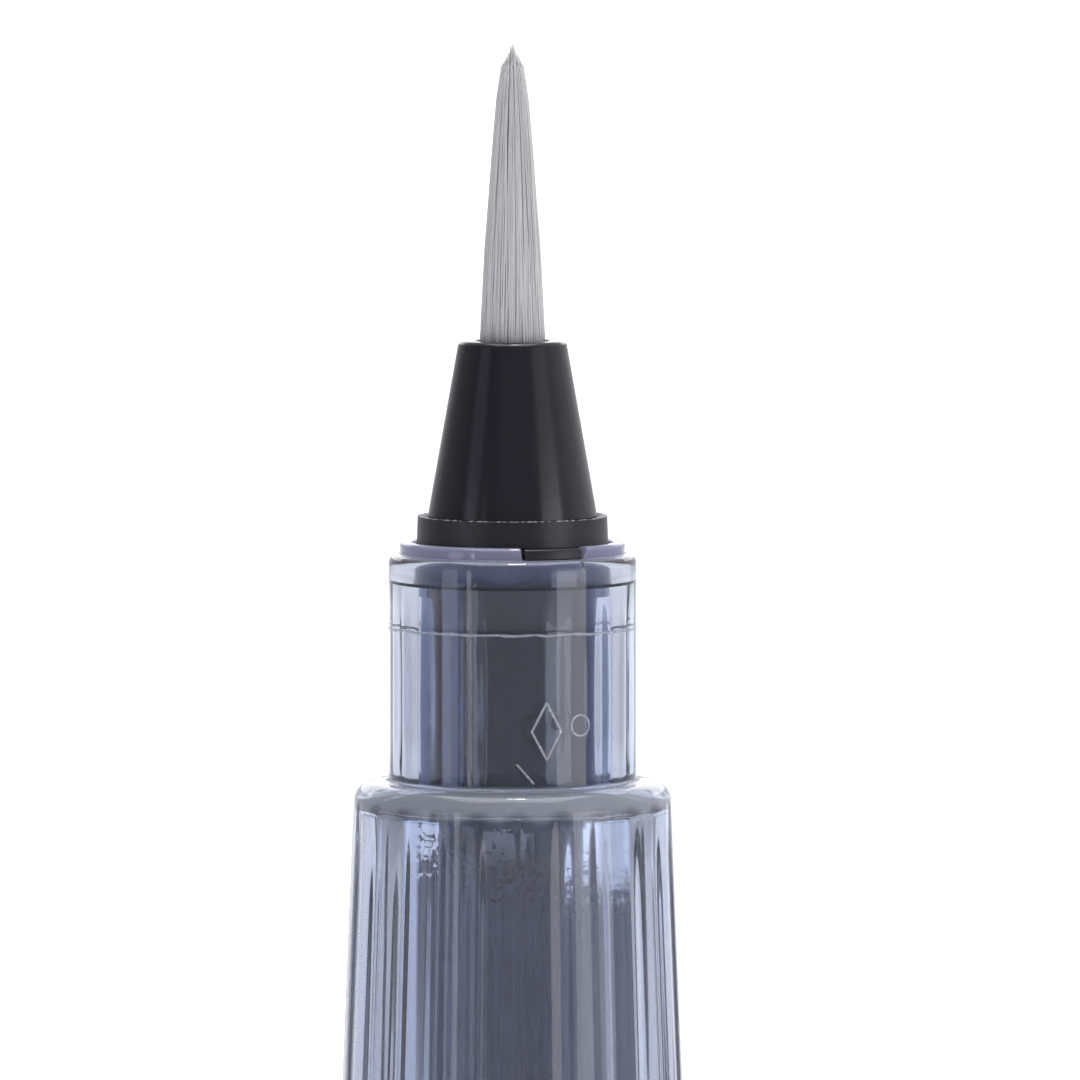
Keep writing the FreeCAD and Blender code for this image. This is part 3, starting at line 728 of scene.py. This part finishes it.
def make_flash_line():
    """Thin uneven ridge of flash round the neck."""
    height = NECK_TOP - FLASH_BELOW
    drift = wobble(5, 9, 0.05, 5, 40)
    thick = wobble(6, 10, 0.02, 9, 80)
    proud = wobble(7, 10, 0.015, 9, 80)

    def shape(angle, radius, level):
        middle = height + drift(angle)
        radius += proud(angle) if radius > NECK_RADIUS else 0
        return radius, middle + (level - height) * (1 + thick(angle) / 0.025)

    outline = [
        (NECK_RADIUS - 0.03, height - 0.05),
        (NECK_RADIUS + 0.035, height - 0.025, 0.01),
        (NECK_RADIUS + 0.035, height + 0.025, 0.01),
        (NECK_RADIUS - 0.03, height + 0.05),
    ]
    piece = lathe("neck_flash", outline, [FLASH], "front", even_angles(480), shape=shape)


def stroke(name, path, width):
    """Thin raised line moulded on the neck along (angle, height) points."""
    rings = []
    sides = 6
    for index, (angle, height) in enumerate(path):
        before = path[max(index - 1, 0)]
        after = path[min(index + 1, len(path) - 1)]
        along = Vector((math.radians(after[0] - before[0]) * NECK_RADIUS, after[1] - before[1]))
        across = Vector((-along.y, along.x)).normalized()
        ring = []
        for side in range(sides):
            turn = 2 * math.pi * side / sides
            aside = across * (width / 2 * math.cos(turn))
            lift = NECK_RADIUS + 0.03 * math.sin(turn)
            spread = angle + math.degrees(aside.x / NECK_RADIUS)
            ring.append(place(spread, lift, height + aside.y))
        rings.append(ring)
    points, faces = [], []
    add_tube(points, faces, rings)
    piece = mesh_piece(name, points, faces, [FLASH], "front")


def make_mould_marks():
    """A small ring, a lozenge and a slanted line: marks that say nothing."""
    height = SHOULDER + 2.4
    ring = [(33 + math.degrees(0.42 * math.cos(turn) / NECK_RADIUS),
             height + 0.2 + 0.42 * math.sin(turn))
            for turn in (math.radians(15 * step) for step in range(25))]
    stroke("mould_mark_ring", ring, 0.09)
    lozenge = [(16, height + 1.15), (23, height), (16, height - 1.15), (9, height)]
    outline = []
    for start, stop in zip(lozenge, lozenge[1:] + lozenge[:1]):
        outline += [(start[0] + (stop[0] - start[0]) * step / 5,
                     start[1] + (stop[1] - start[1]) * step / 5) for step in range(5)]
    stroke("mould_mark_lozenge", outline + outline[:1], 0.1)
    slant = [(2 + 1.6 * step, SHOULDER + 1.1 - 0.16 * step) for step in range(6)]
    stroke("mould_mark_slant", slant, 0.09)


# Hair

HAIR_PROFILE = [(0.0, 1.33), (3.6, 1.15), (5.65, 0.99), (7.7, 0.835), (9.7, 0.665),
                (10.5, 0.565), (10.9, 0.485), (11.3, 0.365), (11.7, 0.2), (12.0, 0.08)]
# Each shell is a share of the tuft's radius and a number of filaments.
HAIR_SHELLS = [(0.0, 1), (0.14, 6), (0.28, 12), (0.42, 18), (0.56, 24), (0.69, 34),
               (0.80, 46), (0.89, 80), (0.955, 124), (1.0, 150)]
HAIR_ROOT = -1.0
POINT_START = 9.5
POINT_END = 11.3
POINT_SLOPE = 0.15
FILAMENT_SIDES = 5
FILAMENT_STEPS = 14


def envelope(rise):
    """Radius of the tuft at a height above the mouth."""
    if rise <= 0:
        return HAIR_PROFILE[0][1]
    for (low, wide), (high, narrow) in zip(HAIR_PROFILE, HAIR_PROFILE[1:]):
        if rise <= high:
            return wide + (narrow - wide) * (rise - low) / (high - low)
    return HAIR_PROFILE[-1][1]


def bundle(rise):
    """Radius that the filaments keep to: they stay apart at the tip and end one by one."""
    last, narrow = HAIR_PROFILE[4]
    return envelope(rise) if rise < last else narrow - POINT_SLOPE * (rise - last)


def highest(radius):
    """Where the tuft's outline falls to a radius."""
    rise = HAIR_PROFILE[-1][0]
    while rise > POINT_START and envelope(rise) < radius:
        rise -= 0.02
    return rise


def filament(share, angle):
    """Rings and tone of one filament, which stands at a share of the tuft's radius."""
    spread = min(1.0, max(0.0, share + random.uniform(-0.03, 0.02)))
    stop = highest(share * bundle(POINT_END)) - abs(random.gauss(0, 0.22 * (share + 0.2)))
    if share > 0.2 and random.random() < 0.12:
        stop -= random.uniform(0, 3)
    lean = random.gauss(0, 0.7)
    wave = random.uniform(0, 360)
    thick = random.uniform(0.032, 0.042)
    tone = min(1, max(0, random.gauss(0.5, 0.13)))
    length = TIP - MOUTH
    rings = []
    for step in range(FILAMENT_STEPS + 1):
        share_up = step / FILAMENT_STEPS
        rise = HAIR_ROOT + (stop - HAIR_ROOT) * (1 - (1 - share_up) ** 1.5)
        taper = thick * (1 - 0.55 * max(rise, 0) / length)
        if step == FILAMENT_STEPS:
            taper *= 0.5
        room = max(bundle(rise) - taper, 0.0)
        turned = angle + lean * max(rise, 0) * 0.8
        turned += 1.5 * math.sin(math.radians(wave + rise * 40))
        x, y, z = place(turned, room * spread, MOUTH + rise)
        spins = [2 * math.pi * side / FILAMENT_SIDES for side in range(FILAMENT_SIDES)]
        rings.append([(x + taper * math.cos(spin), y + taper * math.sin(spin), z)
                      for spin in spins])
    return rings, tone


def hair_core():
    """Rings of the solid core that the filaments hide."""
    height, steps, sides = 11.2, 12, 24
    rings = []
    for step in range(steps + 1):
        rise = HAIR_ROOT + height * step / steps
        wide = (0.9 - 0.02 * max(rise, 0)) * envelope(rise)
        rings.append([place(360 * side / sides, wide, MOUTH + rise) for side in range(sides)])
    return rings


def make_hair():
    """Filaments in shells round a solid core, drawn together at the tip."""
    random.seed(3)
    points, faces, tones = [], [], []
    for share, count in HAIR_SHELLS:
        for strand in range(count):
            angle = 360 * (strand + random.uniform(-0.2, 0.2)) / count
            rings, tone = filament(share, angle)
            add_tube(points, faces, rings)
            tones += [tone] * (FILAMENT_SIDES * len(rings))
    add_tube(points, faces, hair_core())
    tones += [0.5] * (len(points) - len(tones))
    mesh = bpy.data.meshes.new("hair")
    mesh.from_pydata([tuple(value * MM for value in point) for point in points], [], faces)
    attribute = mesh.attributes.new("hair_tone", "FLOAT", "POINT")
    attribute.data.foreach_set("value", tones)
    mesh.shade_smooth()
    mesh.materials.append(HAIR)
    piece = bpy.data.objects.new("hair_strands", mesh)
    bpy.context.scene.collection.objects.link(piece)
    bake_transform(piece)
    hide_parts("bristle_tuft")


# Studio


def make_floor():
    """Large pale floor."""
    floor_surface = Surface("studio_floor", Roughness=0.9)
    mottling = floor_surface.noise((0.0005, 0.0005, 0.0005))
    floor_surface.set("Base Color", floor_surface.ramp(mottling, [
        (0.0, (0.90, 0.90, 0.90)), (1.0, (0.92, 0.92, 0.92))]))
    size = 12 / MM
    corners = [(-size, -size, 0), (size, -size, 0), (size, size, 0), (-size, size, 0)]
    floor = mesh_piece("studio_floor", corners, [(0, 1, 2, 3)], [floor_surface.material], None)


def make_world():
    """Pale surroundings, dimmer in front and at the left."""
    world = bpy.data.worlds.new("studio_world")
    bpy.context.scene.world = world
    world.use_nodes = True
    tree = world.node_tree
    background = tree.nodes["Background"]
    direction = tree.nodes.new("ShaderNodeTexCoord")
    axes = tree.nodes.new("ShaderNodeSeparateXYZ")
    levels = []
    for axis, low, high, dim in (("Y", -0.75, 0.1, 0.5), ("X", -0.85, -0.2, 0.42)):
        level = tree.nodes.new("ShaderNodeMapRange")
        level.inputs["From Min"].default_value = low
        level.inputs["From Max"].default_value = high
        level.inputs["To Min"].default_value = dim
        tree.links.new(axes.outputs[axis], level.inputs["Value"])
        levels.append(level.outputs["Result"])
    product = tree.nodes.new("ShaderNodeMath")
    product.operation = "MULTIPLY"
    tree.links.new(direction.outputs["Generated"], axes.inputs[0])
    tree.links.new(levels[0], product.inputs[0])
    tree.links.new(levels[1], product.inputs[1])
    tree.links.new(product.outputs[0], background.inputs["Strength"])
    background.inputs["Color"].default_value = (0.76, 0.76, 0.795, 1)


def make_lights():
    """Upright panels at both sides, large ones above and behind, and a small bright one."""
    panels = [
        # name, angle, distance, low, high, width, radiance, colour
        ("right_low", 57, 1.0, 0.01, 0.32, 0.55, 2.0, (0.98, 0.99, 1.0)),
        ("right_high", 57, 1.0, 0.32, 0.8, 0.55, 0.4, (0.98, 0.99, 1.0)),
        ("left_low", -60, 1.0, 0.01, 0.3, 0.28, 1.5, (0.76, 0.84, 1.0)),
        ("left_high", -60, 1.0, 0.3, 0.8, 0.4, 0.35, (0.80, 0.88, 1.0)),
        ("left_strip", -40, 1.0, 0.01, 0.3, 0.07, 2.0, (0.95, 0.97, 1.0)),
    ]
    for name, angle, distance, low, high, width, radiance, colour in panels:
        x, y, _ = place(angle, distance, 0)
        add_panel(name, (x, y, (low + high) / 2), (0, 0, (low + high) / 2),
                  (width, high - low), radiance, colour)
    add_panel("top_panel", (0, 0.1, 1.2), (0, 0, 0), (0.9, 0.9), 2.4, (0.97, 0.98, 1.0))
    add_panel("far_panel", (0, 4.8, 0.6), (0, 4.8, 0), (1.6, 7.8), 1.4, (1.0, 1.0, 1.0))
    add_panel("spot_above", (0.02, 0.08, 0.75), (0, 0, 0.15), (0.08, 0.08), 45, (1, 1, 1))


def add_panel(name, at, towards, extent, radiance, colour):
    """A soft light of a given radiance. Its long way stays upright."""
    light = bpy.data.lights.new(name, "AREA")
    light.shape = "RECTANGLE"
    light.size, light.size_y = extent
    light.energy = radiance * math.pi * extent[0] * extent[1]
    light.color = colour
    lamp = bpy.data.objects.new(name, light)
    lamp.location = at
    facing = Vector(towards) - Vector(at)
    lamp.rotation_euler = facing.to_track_quat("-Z", "Y").to_euler()
    bpy.context.scene.collection.objects.link(lamp)


def make_camera():
    """Long lens half a metre away, looking four degrees down, with a plain view transform."""
    distance = 0.5
    elevation = math.radians(4.0)
    width_seen = 43.55 * MM
    target = Vector((1.11 * MM, 0, (SHOULDER + 9.74) * MM))
    camera = bpy.data.cameras.new("camera")
    camera.sensor_width = 36
    camera.lens = camera.sensor_width * distance / width_seen
    camera.clip_start = 0.01
    camera.clip_end = 50
    holder = bpy.data.objects.new("camera", camera)
    holder.location = target + distance * Vector((0, -math.cos(elevation), math.sin(elevation)))
    holder.rotation_euler = (math.pi / 2 - elevation, 0, 0)
    bpy.context.scene.collection.objects.link(holder)
    bpy.context.scene.camera = holder
    bpy.context.scene.view_settings.view_transform = "Standard"


NODE_MATERIALS = {
    "feed_plug": CORE_BLACK,
    "damper_sponge": FIBRE,
    "feed_wick": FIBRE,
    "hair_root": HAIR,
    "root_retainer": BLACK_SATIN,
    "seal_ring": SEAL_GREY,
    "ink_bottle": MILKY,
    "neck_o_ring": RUBBER,
    "orifice_plug": LINER_WHITE,
    "ink_charge": INK,
    "label_sleeve": LABEL,
    "tail_plug": TAIL_GREY,
    "cap_shell": CAP_CLEAR,
    "cap_liner": LINER_WHITE,
    "cap_crown": BLACK_GLOSS,
    "pocket_clip": BLACK_GLOSS,
}


def dress_nodes():
    """Give every CAD node that stays in view its material."""
    for name, material in NODE_MATERIALS.items():
        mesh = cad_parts[name].data
        mesh.materials.clear()
        mesh.materials.append(material)


make_camera()
make_floor()
make_world()
make_lights()
dress_nodes()
make_section()
make_ink_film()
make_nose()
make_collar()
make_collar_rim_highlight()
make_collar_key()
make_flash_line()
make_mould_marks()
make_hair()
